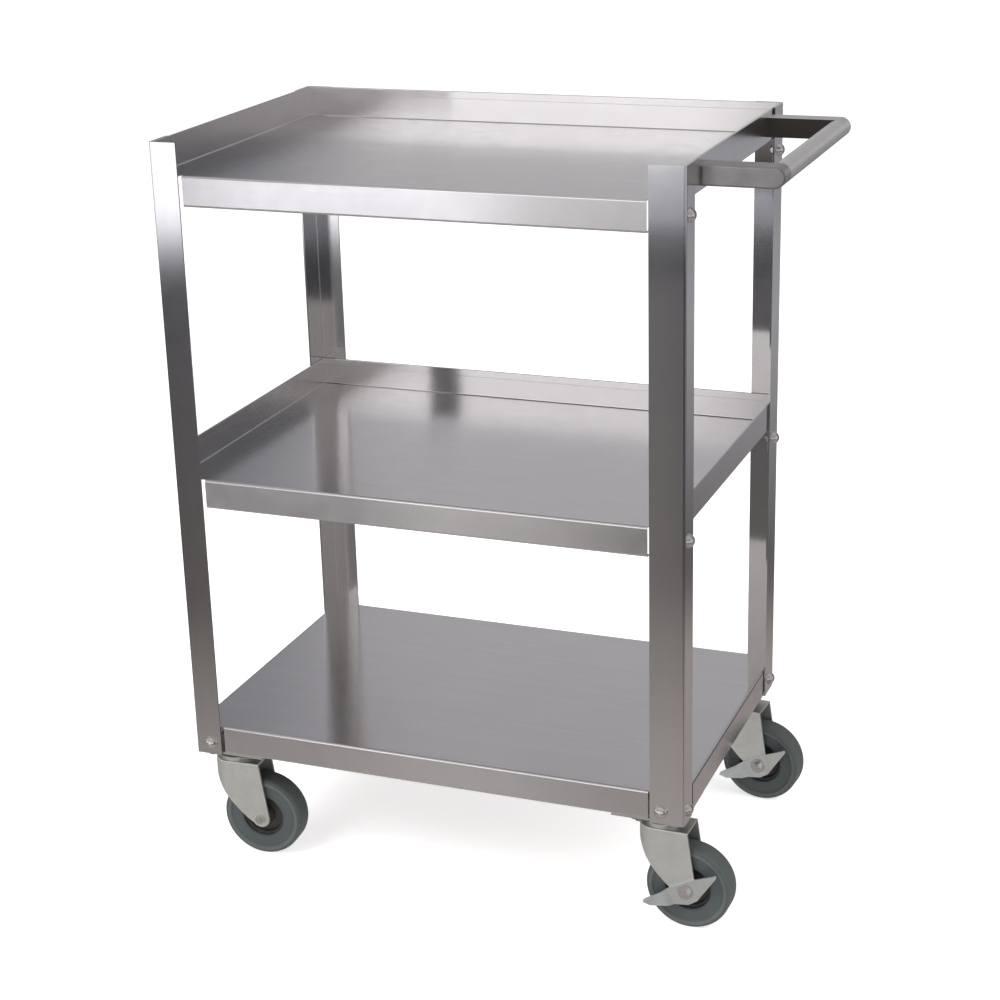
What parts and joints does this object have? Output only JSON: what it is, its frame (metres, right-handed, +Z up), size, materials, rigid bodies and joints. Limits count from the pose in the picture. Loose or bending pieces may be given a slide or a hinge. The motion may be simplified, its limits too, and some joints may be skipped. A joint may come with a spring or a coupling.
{
  "type": "food service trolley",
  "caption": "Stainless serving trolley: raised-edge shelves bolted into angle legs, a tubular push handle at one end, and swivel casters with foot brakes at the handle end.",
  "frame": {"origin": "on the floor, under the centre of the whole trolley, handle included", "axes": "+Z up, +X towards the push handle, -Y the side where the upper two shelves have their edge turned down"},
  "size_m": [0.705, 0.412, 0.876],
  "materials": {
    "shelf_steel": "satin brushed stainless sheet",
    "leg_steel": "brushed stainless angle",
    "bracket_steel": "mill finish stainless",
    "handle_steel": "satin stainless tube",
    "zinc_steel": "zinc plated pressed steel",
    "lever_steel": "bright zinc plated steel",
    "fastener_steel": "bright fasteners",
    "ball_steel": "polished balls",
    "tyre_rubber": "grey thermoplastic rubber",
    "wheel_plastic": "dark moulded wheel centre",
    "bush_plastic": "natural nylon sleeve"
  },
  "bodies": {
    "root": {"bottom_shelf": "shelf_steel", "bottom_shelf_brackets": "bracket_steel", "caster_gussets": "bracket_steel", "caster_plate_back_left": "zinc_steel", "caster_plate_back_right": "zinc_steel", "caster_plate_bolts": "fastener_steel", "caster_plate_front_left": "zinc_steel", "caster_plate_front_right": "zinc_steel", "caster_plate_nuts": "fastener_steel", "handle_arm_back": "handle_steel", "handle_arm_front": "handle_steel", "handle_bar": "handle_steel", "kingpin_back_left": "zinc_steel", "kingpin_back_right": "zinc_steel", "kingpin_front_left": "zinc_steel", "kingpin_front_right": "zinc_steel", "leg_back_left": "leg_steel", "leg_back_right": "leg_steel", "leg_front_left": "leg_steel", "leg_front_right": "leg_steel", "leg_screw_nuts": "fastener_steel", "leg_screw_washers": "fastener_steel", "leg_screws": "fastener_steel", "middle_shelf": "shelf_steel", "middle_shelf_brackets": "bracket_steel", "race_balls_back_left": "ball_steel", "race_balls_back_right": "ball_steel", "race_balls_front_left": "ball_steel", "race_balls_front_right": "ball_steel", "top_shelf": "shelf_steel", "top_shelf_brackets": "bracket_steel"},
    "swivel_front_left": {"fork_front_left": "zinc_steel", "axle_bolt_front_left": "fastener_steel", "axle_nut_front_left": "fastener_steel"},
    "wheel_front_left": {"tyre_front_left": "tyre_rubber", "wheel_core_front_left": "wheel_plastic", "wheel_bush_front_left": "bush_plastic"},
    "swivel_front_right": {"fork_front_right": "zinc_steel", "axle_bolt_front_right": "fastener_steel", "axle_nut_front_right": "fastener_steel", "brake_washer_front_right": "fastener_steel"},
    "wheel_front_right": {"tyre_front_right": "tyre_rubber", "wheel_core_front_right": "wheel_plastic", "wheel_bush_front_right": "bush_plastic"},
    "brake_front_right": {"brake_lever_front_right": "lever_steel"},
    "swivel_back_left": {"fork_back_left": "zinc_steel", "axle_bolt_back_left": "fastener_steel", "axle_nut_back_left": "fastener_steel"},
    "wheel_back_left": {"tyre_back_left": "tyre_rubber", "wheel_core_back_left": "wheel_plastic", "wheel_bush_back_left": "bush_plastic"},
    "swivel_back_right": {"fork_back_right": "zinc_steel", "axle_bolt_back_right": "fastener_steel", "axle_nut_back_right": "fastener_steel", "brake_washer_back_right": "fastener_steel"},
    "wheel_back_right": {"tyre_back_right": "tyre_rubber", "wheel_core_back_right": "wheel_plastic", "wheel_bush_back_right": "bush_plastic"},
    "brake_back_right": {"brake_lever_back_right": "lever_steel"}
  },
  "joints": [
    {"name": "swivel_turn_front_left", "type": "hinge", "parent": "root", "child": "swivel_front_left", "pos_m": [-0.3115, -0.165, 0.123], "axis": [0, 0, 1], "continuous": true},
    {"name": "wheel_roll_front_left", "type": "hinge", "parent": "swivel_front_left", "child": "wheel_front_left", "pos_m": [-0.27755, -0.16322, 0.05], "axis": [-0.0523, 0.9986, 0], "continuous": true},
    {"name": "swivel_turn_front_right", "type": "hinge", "parent": "root", "child": "swivel_front_right", "pos_m": [0.2285, -0.165, 0.123], "axis": [0, 0, 1], "continuous": true},
    {"name": "wheel_roll_front_right", "type": "hinge", "parent": "swivel_front_right", "child": "wheel_front_right", "pos_m": [0.26248, -0.16619, 0.05], "axis": [0.0349, 0.9994, 0], "continuous": true},
    {"name": "brake_press_front_right", "type": "hinge", "parent": "swivel_front_right", "child": "brake_front_right", "pos_m": [0.2618, -0.18567, 0.05], "axis": [0.0349, 0.9994, 0], "range_deg": [0, 50]},
    {"name": "swivel_turn_back_left", "type": "hinge", "parent": "root", "child": "swivel_back_left", "pos_m": [-0.3115, 0.165, 0.123], "axis": [0, 0, 1], "continuous": true},
    {"name": "wheel_roll_back_left", "type": "hinge", "parent": "swivel_back_left", "child": "wheel_back_left", "pos_m": [-0.27752, 0.16619, 0.05], "axis": [-0.0349, 0.9994, 0], "continuous": true},
    {"name": "swivel_turn_back_right", "type": "hinge", "parent": "root", "child": "swivel_back_right", "pos_m": [0.2285, 0.165, 0.123], "axis": [0, 0, 1], "continuous": true},
    {"name": "wheel_roll_back_right", "type": "hinge", "parent": "swivel_back_right", "child": "wheel_back_right", "pos_m": [0.26237, 0.16204, 0.05], "axis": [0.0872, 0.9962, 0], "continuous": true},
    {"name": "brake_press_back_right", "type": "hinge", "parent": "swivel_back_right", "child": "brake_back_right", "pos_m": [0.26067, 0.14261, 0.05], "axis": [0.0872, 0.9962, 0], "range_deg": [0, 50]}
  ]
}
